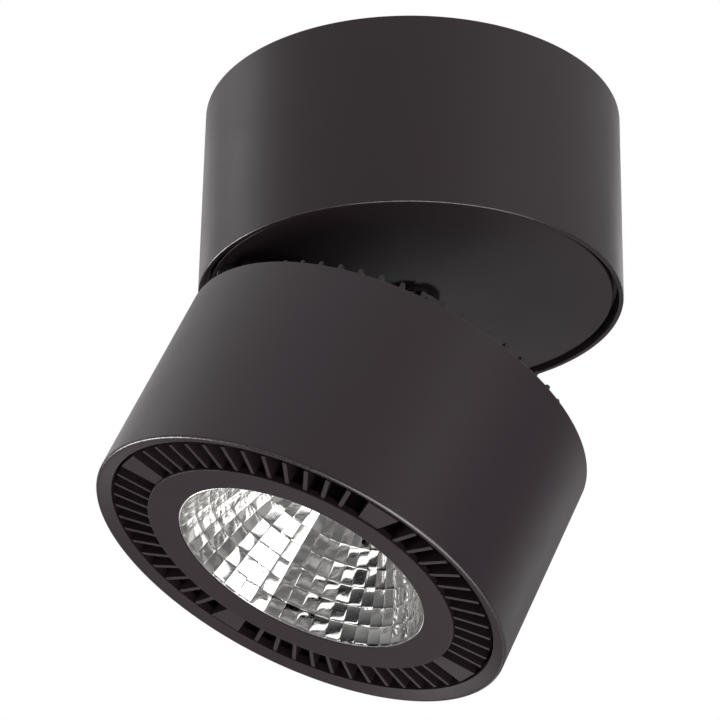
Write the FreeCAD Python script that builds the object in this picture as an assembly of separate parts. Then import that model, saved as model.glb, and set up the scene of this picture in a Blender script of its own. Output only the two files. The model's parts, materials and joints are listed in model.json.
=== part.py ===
import FreeCAD, Part
import math
import os
from FreeCAD import Vector

# A round surface-mounted ceiling spotlight: a can on the ceiling, a disc that swivels in its underside, and a head of
# the same width that tilts on a hinge at the disc's edge. Millimetres and degrees. The origin is the centre of the
# ceiling plane, +Z points up, and the head's front swings towards -X.
# Head pieces are drawn with the head closed: their heights count from the head's back edge, up towards the ceiling.

# The main sizes
body_radius = 69.0
canopy_height = 66.3
head_length = 68.8
rest_tilt = 23.6
cut_overrun = 1.0
screw_play = 0.1
edge_match = 0.05

# The canopy: a can with a ledge inside, and the floor under the ledge
canopy_wall = 1.6
canopy_edge_break = 0.5
ledge_width = 6.0
ledge_height = 3.0
floor_thickness = 2.0
floor_play = 0.3
floor_screw_count = 4
floor_screw_inset = 3.5

# The swivel: the disc in the canopy's underside, on a hollow tube with a nut
disc_recess = 1.5
disc_thickness = 2.0
disc_gap = 1.6
disc_edge_break = 0.4
rim_gap = 1.8
tube_radius = 6.0
tube_bore = 4.2
tube_running_play = 0.08
flange_radius = 9.3
flange_thickness = 2.0
flange_slot_width = 2.4
flange_slot_depth = 1.0
bearing_radius = 16.0
axial_play = 0.3
spring_radius = 10.0
spring_thickness = 0.7
spring_rise = 0.9
nut_across = 19.0
nut_height = 5.0
tube_stub = 1.5
stop_radius = 1.5
stop_inset = 3.0
stop_height = 1.2
stop_seat = 1.2
bush_wall = 1.2
bush_lip = 0.8

# The hinge: a knuckle on the disc between two ears on the head
knuckle_radius = 4.2
knuckle_half = 5.0
lug_thickness = 2.5
swing_gap = 0.4
lip_gap = 0.6
wall_gap = 1.1
pin_radius = 2.0
pin_running_play = 0.05
side_play = 0.15
washer_thickness = 0.8
washer_radius = 3.9
ear_thickness = 3.0
pin_head_radius = 3.6
pin_head_height = 2.4
pin_nut_across = 7.0
pin_nut_height = 3.2
pin_stub = 1.0
bracket_thickness = 2.4
bracket_half = 11.0
bracket_length = 22.0
bracket_corner = 2.5
bracket_nose = 1.0
lug_length = 27.0

# The ceiling bracket: a plate with three arms that end in ears
bracket_plate_radius = 44.0
bracket_plate = 1.5
bracket_gap = 0.3
arm_width = 20.0
ear_drop = 16.0
ear_screw_drop = 9.0
arm_angles = (-90.0, 30.0, 150.0)
cable_hole_radius = 11.0
ceiling_slot_spacing = 66.0
ceiling_slot_length = 14.0
ceiling_slot_radius = 2.3

# The driver and the terminals on the floor
driver_wall_gap = 4.8
driver_corner_turn = 46.4
driver_height = 30.0
driver_cover_height = 8.0
driver_clear = 2.0
driver_corner = 3.0
driver_ear_length = 8.0
driver_ear_width = 12.0
driver_ear_thickness = 2.5
terminal_length = 30.0
terminal_width = 16.0
terminal_height = 15.0
terminal_offset = 25.0
terminal_poles = 3
terminal_bore = 1.9
terminal_web = 0.6
terminal_screw_sink = 1.0
terminal_chamfer = 2.5
clamp_length = 22.0
clamp_foot = 6.0
clamp_width = 8.0
clamp_height = 7.0
clamp_strap = 1.6
clamp_gap = 4.0
clamp_offset_y = 21.0
earth_offset_x = 30.0
earth_offset_y = 24.0
earth_washer_radius = 4.5
earth_washer_thickness = 1.0

# The head's shell
head_wall = 3.0
rim_band = 4.7
rim_slope = 2.3
lip_land = 3.0
front_edge_break = 0.5
back_edge_break = 0.4
shell_boss_length = 7.5
shell_boss_half = 8.0
shell_boss_depth = 12.0
shell_tab_reach = 9.0
shell_tab_half = 4.5
shell_tab_thickness = 2.5

# The finned heat sink
shadow_gap = 1.0
fin_depth = 11.7
fin_setback = 2.4
fin_proud = 5.3
fin_thickness = 1.35
fins_per_quarter = 12
fin_pitch = 6.25
web_turn = 9.0
web_outer_width = 10.5
web_inner_width = 6.6
web_pad_play = 0.05
web_pad_front = 9.0
web_pad_back = 14.0
core_inset = 2.1
core_wall = 3.0
plate_depth = 10.0
plate_thickness = 8.0
hub_radius = 22.5
hub_wall = 2.5
hub_height = 1.0
bay_play = 0.8
pad_margin = 3.7

# The bezel and the reflector
bezel_width = 10.1
bezel_setback = 1.75
bezel_slope = 0.9
bezel_seat = 3.9
bezel_edge_break = 0.3
bezel_lip = 0.6
skirt_play = 0.1
skirt_wall = 1.0
skirt_length = 7.0
mirror_edge = 0.5
reflector_wall = 1.0
reflector_flange_play = 0.2
reflector_flange = 1.2
reflector_neck_radius = 12.5
facet_columns = 48
facet_rows = 8

# The light engine
thermal_pad_thickness = 0.5
board_side = 28.0
board_thickness = 1.7
emitter_radius = 10.5
emitter_thickness = 0.6
holder_radius = 24.0
holder_height = 5.0
holder_window = 11.6
holder_play = 0.3
holder_screw_reach = 18.6
lead_radius = 0.8
lead_spacing = 6.0
lead_reach = 18.2
lead_rise = 6.0
lead_notch_half = 6.0
lead_hole_play = 0.4
cover_thickness = 1.5
cover_screw_reach = 17.0
cover_post_radius = 3.2
grommet_radius = 5.5
grommet_bore = 3.0
grommet_lip = 1.2

# Screws: shank radius, head radius, head height and socket radius
m3_screw = (1.5, 2.8, 1.7, 1.1)
m4_screw = (2.0, 3.7, 2.1, 1.4)
holder_screw_length = 9.0
cover_screw_length = 6.0
lug_screw_length = 9.0
shell_screw_length = 9.0
set_screw_length = 6.0

# Places that follow from the sizes
canopy_inner = body_radius - canopy_wall
lip_z = -canopy_height
disc_low = lip_z + disc_recess
disc_high = disc_low + disc_thickness
disc_radius = canopy_inner - rim_gap
floor_low = disc_high + disc_gap
floor_high = floor_low + floor_thickness
nut_low = floor_high + spring_rise + axial_play
nut_corner = nut_across / (2 * math.cos(math.radians(30)))
hinge_rise = knuckle_radius + lug_thickness + swing_gap
hinge_reach = body_radius - hinge_rise + wall_gap
hinge_z = lip_z - knuckle_radius - lip_gap
back_z = hinge_z - hinge_rise
ear_inner = knuckle_half + side_play + washer_thickness
ear_outer = ear_inner + ear_thickness
bay_half = ear_outer + pin_nut_height + pin_stub + bay_play
lug_inner = hinge_reach + knuckle_radius - lug_length
shell_inner = body_radius - head_wall
front_z = -head_length
lip_radius = body_radius - rim_band
fin_radius = lip_radius - shadow_gap
fin_front = front_z + fin_setback
bezel_radius = fin_radius - fin_depth
mouth_radius = bezel_radius - bezel_width
mirror_radius = mouth_radius - mirror_edge
core_outer = bezel_radius - core_inset
core_inner = core_outer - core_wall
seat_z = front_z + bezel_seat
mouth_z = front_z + bezel_setback + bezel_slope
flange_z = mouth_z + bezel_lip
plate_back = -plate_depth
plate_front = plate_back - plate_thickness
holder_front = plate_front - holder_height
board_front = plate_front - thermal_pad_thickness - board_thickness
web_angles = [180.0 + web_turn + 90.0 * quarter for quarter in range(4)]


def block(x0, x1, y0, y1, z0, z1):
    """A box between two corners."""
    return Part.makeBox(x1 - x0, y1 - y0, z1 - z0, Vector(x0, y0, z0))


def ring(outer, inner, low, high):
    """A round ring on the Z axis, or a disc where the inner radius is zero."""
    body = Part.makeCylinder(outer, high - low, Vector(0, 0, low))
    if inner > 0:
        body = body.cut(Part.makeCylinder(inner, high - low, Vector(0, 0, low)))
    return body


def turned(outline):
    """A solid of revolution about the Z axis from a closed outline of (radius, height) points."""
    corners = [Vector(radius, 0, height) for radius, height in outline]
    return Part.Face(Part.makePolygon(corners + corners[:1])).revolve(Vector(0, 0, 0), Vector(0, 0, 1), 360)


def plate_xz(outline, y0, y1):
    """A plate from an outline of (x, z) points, between two Y planes."""
    corners = [Vector(x, y0, z) for x, z in outline]
    return Part.Face(Part.makePolygon(corners + corners[:1])).extrude(Vector(0, y1 - y0, 0))


def prism(outline, low, high):
    """A prism from an outline of (x, y) points, between two heights."""
    corners = [Vector(x, y, low) for x, y in outline]
    return Part.Face(Part.makePolygon(corners + corners[:1])).extrude(Vector(0, 0, high - low))


def hexagon(across, low, high):
    """A hexagonal prism on the Z axis, by its width across flats."""
    corner = across / (2 * math.cos(math.radians(30)))
    turns = [math.radians(60 * side) for side in range(6)]
    return prism([(corner * math.cos(turn), corner * math.sin(turn)) for turn in turns], low, high)


def rod_y(radius, y0, y1, x, z):
    """A round rod along Y."""
    return Part.makeCylinder(radius, y1 - y0, Vector(x, y0, z), Vector(0, 1, 0))


def turned_about_z(shape, angle):
    """A copy turned about the Z axis."""
    copy = shape.copy()
    copy.rotate(Vector(0, 0, 0), Vector(0, 0, 1), angle)
    return copy


def moved(shape, x, y, z):
    """A copy moved from its place."""
    copy = shape.copy()
    copy.translate(Vector(x, y, z))
    return copy


def break_edges(shape, radius, height, amount):
    """Take the sharpness off the circular edges of one radius at one height."""
    edges = []
    for edge in shape.Edges:
        curve = edge.Curve
        round_edge = isinstance(curve, Part.Circle) and abs(curve.Radius - radius) < edge_match
        if round_edge and abs(curve.Center.z - height) < edge_match:
            edges.append(edge)
    return shape.makeChamfer(amount, edges)


def upright_edges(shape):
    """The straight edges that stand along Z."""
    return [edge for edge in shape.Edges if isinstance(edge.Curve, Part.Line) and edge.BoundBox.XLength < edge_match
            and edge.BoundBox.YLength < edge_match]


def screw(size, length, sunk):
    """A screw that points down from the origin. Its head stands on the origin, or is sunk flush with it."""
    shank, head, height, socket = size
    body = ring(shank, 0, -length, 0)
    if sunk:
        body = body.fuse(Part.makeCone(shank, head, height, Vector(0, 0, -height)))
        return body.cut(hexagon(2 * socket, -height / 2, cut_overrun))
    return body.fuse(ring(head, 0, 0, height)).cut(hexagon(2 * socket, height / 2, height + cut_overrun))


def screw_hole(size, length, sunk):
    """The hole for a screw at the origin, with its play all round."""
    shank, head, height, socket = size
    hole = ring(shank + screw_play, 0, -length - screw_play, cut_overrun)
    if sunk:
        hole = hole.fuse(Part.makeCone(shank + screw_play, head + screw_play, height, Vector(0, 0, -height)))
        hole = hole.fuse(ring(head + screw_play, 0, 0, cut_overrun))
    return hole


def facing(shape, direction):
    """A copy of something drawn along +Z, turned to face another way."""
    copy = shape.copy()
    copy.Placement = FreeCAD.Placement(Vector(0, 0, 0), FreeCAD.Rotation(Vector(0, 0, 1), direction))
    return copy


def group(shapes):
    """Separate solids of one kind, kept in one node."""
    return Part.makeCompound(shapes)


def set_head(shape):
    """Move a head piece from its closed drawing to its place, tilted about the hinge."""
    placed = moved(shape, 0, 0, back_z)
    placed.rotate(Vector(-hinge_reach, 0, hinge_z), Vector(0, 1, 0), rest_tilt)
    return placed


# Screw places, each shared by the screws and by the holes in the pieces that they join
floor_screw_angles = [45.0 + 360.0 / floor_screw_count * place for place in range(floor_screw_count)]
floor_screw_circle = canopy_inner - floor_screw_inset
set_screw_angles = arm_angles[1:]
driver_corner_reach = canopy_inner - ledge_width - driver_wall_gap
driver_near = nut_corner + driver_clear
driver_far = driver_corner_reach * math.sin(math.radians(driver_corner_turn))
driver_middle = (driver_near + driver_far) / 2
stop_circle = driver_far - stop_inset
driver_length = 2 * driver_corner_reach * math.cos(math.radians(driver_corner_turn))
driver_screw_reach = driver_length / 2 + driver_ear_length / 2
bracket_inner = hinge_reach - knuckle_radius - swing_gap - bracket_length
bracket_outer = hinge_reach - knuckle_radius - swing_gap
bracket_screw_x = bracket_inner + bracket_half / 2
bracket_screw_y = bracket_half / 2
lug_screw_x = lug_inner + m3_screw[1] + lug_thickness
pad_inner_edge = lug_inner - pad_margin
lug_screw_y = ear_outer / 2
boss_screw_x = hinge_reach
shell_tab_radius = shell_inner - shell_tab_reach + m3_screw[1] + head_wall / 4
clamp_offset_x = terminal_length / 2 + clamp_gap + clamp_length / 2


def at_floor_screws(shape):
    """Copies of a shape at the floor's screws, where they are sunk into its underside."""
    one = moved(facing(shape, Vector(0, 0, -1)), floor_screw_circle, 0, floor_low)
    return [turned_about_z(one, angle) for angle in floor_screw_angles]


def at_set_screws(shape):
    """Copies of a shape at the two screws in the canopy's wall."""
    one = moved(facing(shape, Vector(1, 0, 0)), body_radius, 0, -ear_screw_drop)
    return [turned_about_z(one, angle) for angle in set_screw_angles]


def at_driver_screws(shape):
    """Copies of a shape on the driver's two ears."""
    return [moved(shape, side * driver_screw_reach, driver_middle, floor_high + driver_ear_thickness)
            for side in (-1, 1)]


def at_bracket_screws(shape):
    """Copies of a shape at the screws that hold the hinge bracket under the disc."""
    one = facing(shape, Vector(0, 0, -1))
    return [moved(one, -bracket_screw_x, side * bracket_screw_y, disc_low - bracket_thickness) for side in (-1, 1)]


def at_lug_screws(shape):
    """Copies of a shape at the two screws into the heat sink and the one into the shell's boss."""
    places = [(lug_screw_x, -lug_screw_y), (lug_screw_x, lug_screw_y), (boss_screw_x, 0)]
    return [moved(shape, -x, y, lug_thickness) for x, y in places]


def at_shell_screw(shape):
    """A copy of a shape at the screw through the shell's tab, on the web opposite the hinge."""
    return turned_about_z(moved(shape, shell_tab_radius, 0, 0), web_angles[2])


def at_holder_screws(shape):
    """Copies of a shape at the screws of the light engine's holder, which face the front."""
    one = facing(shape, Vector(0, 0, -1))
    return [moved(one, side * holder_screw_reach, 0, holder_front) for side in (-1, 1)]


def at_cover_screws(shape):
    """Copies of a shape at the rear cover's screws."""
    return [moved(shape, side * cover_screw_reach, 0, hub_height + cover_thickness) for side in (-1, 1)]


# The canopy


def canopy_shell():
    """The can: its wall, the ledge inside, and the holes for the screws at its back."""
    ledge_inner = canopy_inner - ledge_width
    ledge_top = floor_high + ledge_height
    shell = turned([(body_radius, 0), (body_radius, lip_z), (canopy_inner, lip_z), (canopy_inner, floor_high),
                    (ledge_inner, floor_high), (ledge_inner, ledge_top), (canopy_inner, ledge_top),
                    (canopy_inner, 0)])
    shell = break_edges(shell, body_radius, lip_z, canopy_edge_break)
    length = floor_thickness + ledge_height
    return shell.cut(at_floor_screws(screw_hole(m3_screw, length, False))
                     + at_set_screws(screw_hole(m4_screw, set_screw_length, False)))


def canopy_floor():
    """The plate that closes the can below, with the swivel's bearing hole."""
    plate = ring(canopy_inner - floor_play, tube_radius + tube_running_play, floor_low, floor_high)
    drilled = at_floor_screws(screw_hole(m3_screw, floor_thickness + cut_overrun, True))
    drilled += at_driver_screws(screw_hole(m3_screw, driver_ear_thickness + floor_thickness, False))
    drilled.append(moved(ring(stop_radius + screw_play, 0, floor_low - cut_overrun, floor_high + cut_overrun),
                         0, stop_circle, 0))
    for x, y in small_screw_places():
        drilled.append(moved(ring(m3_screw[0] + screw_play, 0, floor_low - cut_overrun, floor_high + cut_overrun),
                             x, y, 0))
    return plate.cut(drilled)


def small_screw_places():
    """Where the terminal block, the cable clamp and the earth screw into the floor."""
    clamp_arm = clamp_length / 2 - clamp_foot / 2
    return [(0, -terminal_offset), (clamp_offset_x - clamp_arm, -clamp_offset_y),
            (clamp_offset_x + clamp_arm, -clamp_offset_y), (-earth_offset_x, -earth_offset_y)]


def floor_screws():
    """Sunk screws up through the floor into the ledge."""
    return group(at_floor_screws(screw(m3_screw, floor_thickness + ledge_height - screw_play, True)))


def bearing_washer():
    """The slip washer between the floor and the disc."""
    return ring(bearing_radius, tube_radius + axial_play, disc_high + axial_play, floor_low)


def disc_spring():
    """The coned spring washer between the floor and the nut."""
    bore = tube_radius + axial_play
    rise = spring_rise - spring_thickness
    low = floor_high
    return turned([(bore, low + rise), (spring_radius, low), (spring_radius, low + spring_thickness),
                   (bore, low + rise + spring_thickness)])


def canopy_stop():
    """The pin in the floor that ends the swivel's turn."""
    return moved(ring(stop_radius, 0, floor_low - stop_height, floor_high), 0, stop_circle, 0)


def ceiling_bracket():
    """The plate on the ceiling: three arms whose bent ends the canopy slips over."""
    ear_face = canopy_inner - bracket_gap
    plate = ring(bracket_plate_radius, 0, -bracket_plate, 0)
    arms = []
    for angle in arm_angles:
        arm = block(0, ear_face, -arm_width / 2, arm_width / 2, -bracket_plate, 0)
        ear = block(ear_face - 2 * bracket_plate, ear_face, -arm_width / 2, arm_width / 2, -ear_drop, 0)
        curved = ring(ear_face, ear_face - bracket_plate, -ear_drop, 0)
        arms.append(turned_about_z(arm.common(ring(ear_face, 0, -bracket_plate, 0)), angle))
        arms.append(turned_about_z(ear.common(curved), angle))
    plate = plate.multiFuse(arms).removeSplitter()
    slot_run = ceiling_slot_length / 2 - ceiling_slot_radius
    holes = [ring(cable_hole_radius, 0, -bracket_plate - cut_overrun, cut_overrun)]
    for side in (-1, 1):
        middle = side * ceiling_slot_spacing / 2
        slot = block(middle - slot_run, middle + slot_run, -ceiling_slot_radius, ceiling_slot_radius,
                     -bracket_plate - cut_overrun, cut_overrun)
        ends = [moved(ring(ceiling_slot_radius, 0, -bracket_plate - cut_overrun, cut_overrun), middle + end, 0, 0)
                for end in (-slot_run, slot_run)]
        holes.append(slot.multiFuse(ends))
    return plate.cut(holes + at_set_screws(screw_hole(m4_screw, set_screw_length, False)))


def set_screws():
    """The two screws through the canopy's wall into the bracket's ears."""
    return group(at_set_screws(screw(m4_screw, set_screw_length, False)))


def driver_case():
    """The driver's lower housing, with an ear at each end."""
    low = floor_high
    high = floor_high + driver_height - driver_cover_height
    case = block(-driver_length / 2, driver_length / 2, driver_near, driver_far, low, high)
    case = case.makeFillet(driver_corner, upright_edges(case))
    reach = driver_length / 2 + driver_ear_length
    ears = block(-reach, reach, driver_middle - driver_ear_width / 2, driver_middle + driver_ear_width / 2,
                 low, low + driver_ear_thickness)
    ears = ears.makeFillet(driver_ear_thickness, upright_edges(ears))
    return case.fuse(ears).cut(at_driver_screws(screw_hole(m3_screw, driver_ear_thickness, False)))


def driver_cover():
    """The driver's lid."""
    low = floor_high + driver_height - driver_cover_height
    high = floor_high + driver_height
    cover = block(-driver_length / 2, driver_length / 2, driver_near, driver_far, low, high)
    cover = cover.makeFillet(driver_corner, upright_edges(cover))
    top = [edge for edge in cover.Edges if edge.BoundBox.ZMin > high - screw_play]
    return cover.makeChamfer(driver_corner / 3, top)


def driver_screws():
    """The screws through the driver's ears into the floor."""
    return group(at_driver_screws(screw(m3_screw, driver_ear_thickness + floor_thickness, False)))


def terminal_block():
    """The mains terminal block: a stepped body with a wire hole and a screw well for each pole."""
    y0 = -terminal_offset - terminal_width / 2
    y1 = y0 + terminal_width
    low = floor_high
    high = low + terminal_height
    body = block(-terminal_length / 2, terminal_length / 2, y0, y1, low, high)
    long_edges = [edge for edge in body.Edges if edge.BoundBox.ZMin > high - screw_play
                  and edge.BoundBox.XLength > terminal_length / 2]
    body = body.makeChamfer(terminal_chamfer, long_edges)
    wells = []
    well_low = terminal_height / 2 + terminal_bore + terminal_web
    for x in terminal_pole_places():
        wells.append(rod_y(terminal_bore, y0 - cut_overrun, y1 + cut_overrun, x, low + terminal_height / 2))
        for side in (-1, 1):
            wells.append(moved(ring(m3_screw[0] + screw_play, 0, well_low, terminal_height + cut_overrun),
                               x, -terminal_offset + side * terminal_width / 4, low))
    wells.append(moved(ring(m3_screw[0] + screw_play, 0, -cut_overrun, terminal_height / 3), 0, -terminal_offset, low))
    return body.cut(wells)


def terminal_pole_places():
    """The middle of each pole along the block, beside its fixing screw."""
    pitch = terminal_length / terminal_poles
    return [pitch * (pole - (terminal_poles - 1) / 2) for pole in range(terminal_poles)]


def terminal_screws():
    """The wire clamp screws, two to a pole."""
    top = floor_high + terminal_height - terminal_screw_sink
    shank = ring(m3_screw[0], 0, floor_high + terminal_height / 2 + terminal_bore + terminal_web, top)
    driver_slot = block(-m3_screw[0], m3_screw[0], -m3_screw[3] / 4, m3_screw[3] / 4, top - m3_screw[3] / 2, top)
    one = shank.cut(driver_slot)
    return group([moved(one, x, -terminal_offset + side * terminal_width / 4, 0)
                  for x in terminal_pole_places() for side in (-1, 1)])


def terminal_fixing_screw():
    """The screw that holds the terminal block, driven up from under the floor and sunk flush."""
    length = floor_thickness + terminal_height / 3 - screw_play
    return moved(ring(m3_screw[0], 0, 0, length), 0, -terminal_offset, floor_low)


def cable_clamp():
    """The arched strap over the driver's output lead."""
    low = floor_high
    y0 = -clamp_offset_y - clamp_width / 2
    y1 = y0 + clamp_width
    half = clamp_length / 2
    arch = half - clamp_foot
    crown = low + clamp_height
    outline = [(-half, low), (-half, low + clamp_strap), (-arch, low + clamp_strap), (clamp_strap - arch, crown),
               (arch - clamp_strap, crown), (arch, low + clamp_strap), (half, low + clamp_strap), (half, low),
               (arch - clamp_strap, low), (arch - 2 * clamp_strap, crown - clamp_strap),
               (2 * clamp_strap - arch, crown - clamp_strap), (clamp_strap - arch, low)]
    strap = moved(plate_xz(outline, y0, y1), clamp_offset_x, 0, 0)
    holes = [moved(ring(m3_screw[0] + screw_play, 0, low - cut_overrun, low + clamp_strap + cut_overrun), x, y, 0)
             for x, y in small_screw_places()[1:3]]
    return strap.cut(holes)


def clamp_screws():
    """The cable clamp's two screws."""
    one = screw(m3_screw, clamp_strap + floor_thickness, False)
    return group([moved(one, x, y, floor_high + clamp_strap) for x, y in small_screw_places()[1:3]])


def earth_screw():
    """The earthing screw."""
    x, y = small_screw_places()[3]
    return moved(screw(m3_screw, earth_washer_thickness + floor_thickness, False), x, y,
                 floor_high + earth_washer_thickness)


def earth_washer():
    """The washer under the earthing screw."""
    x, y = small_screw_places()[3]
    return moved(ring(earth_washer_radius, m3_screw[0] + screw_play, floor_high, floor_high + earth_washer_thickness),
                 x, y, 0)


# The swivel


def swivel_disc():
    """The round plate in the canopy's underside, with its lower edge broken."""
    disc = ring(disc_radius, tube_radius + screw_play, disc_low, disc_high)
    disc = break_edges(disc, disc_radius, disc_low, disc_edge_break)
    holes = at_bracket_screws(screw_hole(m4_screw, bracket_thickness + disc_thickness, False))
    holes.append(moved(ring(stop_radius + screw_play, 0, disc_high - stop_seat - screw_play, disc_high + cut_overrun),
                       0, -stop_circle, 0))
    return disc.cut(holes)


def pivot_tube():
    """The hollow pivot: a flange under the disc with two key slots, and a tube up through the floor."""
    top = nut_low + nut_height + tube_stub
    tube = ring(tube_radius, tube_bore, disc_low - flange_thickness, top)
    flange = ring(flange_radius, tube_bore, disc_low - flange_thickness, disc_low)
    body = tube.fuse(flange).removeSplitter()
    low = disc_low - flange_thickness
    slots = [block(tube_radius, flange_radius + cut_overrun, -flange_slot_width / 2, flange_slot_width / 2,
                   low - cut_overrun, low + flange_slot_depth)]
    slots.append(turned_about_z(slots[0], 180))
    return body.cut([turned_about_z(slot, 90) for slot in slots])


def pivot_bush():
    """The soft bush in the tube's mouth, where the lead comes out."""
    low = disc_low - flange_thickness
    bore = tube_bore - bush_wall
    return turned([(bore, low - bush_lip), (tube_radius, low - bush_lip), (tube_radius, low), (tube_bore, low),
                   (tube_bore, disc_high), (bore, disc_high)])


def lock_nut():
    """The nut on the pivot tube, above the spring washer."""
    nut = hexagon(nut_across, nut_low, nut_low + nut_height)
    return nut.cut(ring(tube_radius + screw_play / 2, 0, nut_low - cut_overrun, nut_low + nut_height + cut_overrun))


def swivel_stop():
    """The pin in the disc's upper face that meets the canopy's pin at each end of the turn."""
    return moved(ring(stop_radius, 0, disc_high - stop_seat, disc_high + stop_height), 0, -stop_circle, 0)


def hinge_bracket():
    """The hinge's fixed half: a plate under the disc that runs out into a knuckle."""
    low = disc_low - bracket_thickness
    plate = block(-bracket_outer, -bracket_inner, -bracket_half, bracket_half, low, disc_low)
    plate = plate.makeFillet(bracket_corner, upright_edges(plate))
    nose = hinge_reach + bracket_nose
    outline = [(-hinge_reach + knuckle_radius, hinge_z), (-bracket_outer + bracket_corner, low),
               (-bracket_outer + bracket_corner, disc_low), (-nose, disc_low), (-nose, low),
               (-hinge_reach - knuckle_radius, hinge_z)]
    web = plate_xz(outline, -knuckle_half, knuckle_half)
    knuckle = rod_y(knuckle_radius, -knuckle_half, knuckle_half, -hinge_reach, hinge_z)
    body = plate.multiFuse([web, knuckle]).removeSplitter()
    bore = rod_y(pin_radius + pin_running_play, -bracket_half, bracket_half, -hinge_reach, hinge_z)
    return body.cut([bore] + at_bracket_screws(screw_hole(m4_screw, bracket_thickness, True)))


def bracket_screws():
    """The sunk screws that hold the hinge bracket under the disc."""
    return group(at_bracket_screws(screw(m4_screw, bracket_thickness + disc_thickness, True)))


# The head, drawn closed


def hinge_lug():
    """The hinge's moving half: a plate on the head's back with two ears."""
    end = hinge_reach + knuckle_radius
    plate = block(-end, -lug_inner, -ear_outer, ear_outer, 0, lug_thickness)
    plate = plate.makeFillet(bracket_corner, upright_edges(plate)[:2])
    ears = []
    for side in (-1, 1):
        y0, y1 = sorted((side * ear_inner, side * ear_outer))
        ears.append(block(-end, -hinge_reach + knuckle_radius, y0, y1, 0, hinge_rise))
        ears.append(rod_y(knuckle_radius, y0, y1, -hinge_reach, hinge_rise))
    body = plate.multiFuse(ears).removeSplitter()
    bore = rod_y(pin_radius + screw_play / 2, -ear_outer - cut_overrun, ear_outer + cut_overrun, -hinge_reach,
                 hinge_rise)
    return body.cut([bore] + at_lug_screws(screw_hole(m3_screw, lug_thickness, True)))


def lug_screws():
    """The screws through the lug: two into the heat sink and one into the shell's boss."""
    return group(at_lug_screws(screw(m3_screw, lug_screw_length, True)))


def hinge_pin():
    """The hinge bolt, with its head on one side."""
    shank = rod_y(pin_radius, -ear_outer, ear_outer + pin_nut_height + pin_stub, -hinge_reach, hinge_rise)
    head = rod_y(pin_head_radius, -ear_outer - pin_head_height, -ear_outer, -hinge_reach, hinge_rise)
    socket = moved(facing(hexagon(pin_radius, -pin_head_height, -pin_head_height / 3), Vector(0, 1, 0)),
                   -hinge_reach, -ear_outer, hinge_rise)
    return shank.fuse(head).cut(socket)


def hinge_nut():
    """The nut on the hinge bolt."""
    nut = hexagon(pin_nut_across, 0, pin_nut_height)
    nut = nut.cut(ring(pin_radius + screw_play / 2, 0, -cut_overrun, pin_nut_height + cut_overrun))
    return moved(facing(nut, Vector(0, 1, 0)), -hinge_reach, ear_outer, hinge_rise)


def friction_washers():
    """The washers between the knuckle and the ears that hold the head where it is put."""
    one = ring(washer_radius, pin_radius + screw_play, 0, washer_thickness)
    turned_one = facing(one, Vector(0, 1, 0))
    return group([moved(turned_one, -hinge_reach, y, hinge_rise) for y in (-ear_inner, ear_inner - washer_thickness)])


def head_shell():
    """The head's outer tube: a sloping front rim, a boss at the hinge and a tab opposite."""
    lip_back = front_z + rim_slope + lip_land
    shell = turned([(body_radius, 0), (body_radius, front_z), (lip_radius, front_z + rim_slope),
                    (lip_radius, lip_back), (shell_inner, lip_back + shell_inner - lip_radius), (shell_inner, 0)])
    shell = break_edges(shell, body_radius, front_z, front_edge_break)
    shell = break_edges(shell, body_radius, 0, back_edge_break)
    bore = ring(shell_inner + head_wall / 2, 0, -shell_boss_depth, 0)
    boss = block(-body_radius, shell_boss_length - shell_inner, -shell_boss_half, shell_boss_half,
                 -shell_boss_depth, 0).common(bore)
    tab = block(shell_inner - shell_tab_reach, body_radius, -shell_tab_half, shell_tab_half,
                -shell_tab_thickness, 0).common(bore)
    shell = shell.multiFuse([boss, turned_about_z(tab, web_angles[2])]).removeSplitter()
    holes = at_lug_screws(screw_hole(m3_screw, lug_screw_length, False))[2:]
    holes.append(at_shell_screw(screw_hole(m3_screw, shell_screw_length, True)))
    return shell.cut(holes)


def fin():
    """One fin along +X: the full length outside the core, and shallow across the plate's back."""
    outline = [(hub_radius - hub_wall / 2, plate_back - plate_thickness / 2),
               (core_outer - core_wall / 2, plate_back - plate_thickness / 2), (core_outer - core_wall / 2, seat_z),
               (bezel_radius + screw_play, seat_z), (bezel_radius + screw_play, fin_front), (fin_radius, fin_front),
               (fin_radius, fin_proud), (hub_radius - hub_wall / 2, fin_proud)]
    return plate_xz(outline, -fin_thickness / 2, fin_thickness / 2)


def web():
    """One wide web along +X, which reaches the shell's wall between the rim and the back edge."""
    taper = (web_outer_width - web_inner_width) / (2 * (fin_radius - bezel_radius))
    inner = core_outer - core_wall / 2
    inner_half = web_inner_width / 2 - taper * (bezel_radius - inner)
    outer_half = web_outer_width / 2 + taper * (body_radius - fin_radius)
    wedge = prism([(inner, -inner_half), (body_radius, -outer_half), (body_radius, outer_half), (inner, inner_half)],
                  fin_front, fin_proud)
    pad_radius = shell_inner - web_pad_play
    envelope = turned([(0, fin_proud), (fin_radius, fin_proud), (fin_radius, -web_pad_back),
                       (pad_radius, -web_pad_back), (pad_radius, front_z + web_pad_front),
                       (fin_radius, front_z + web_pad_front), (fin_radius, fin_front),
                       (bezel_radius + screw_play, fin_front), (bezel_radius + screw_play, seat_z), (0, seat_z)])
    rear = block(hub_radius - hub_wall / 2, inner + core_wall / 2, -inner_half, inner_half,
                 plate_back - plate_thickness / 2, fin_proud)
    return wedge.common(envelope).fuse(rear)


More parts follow.
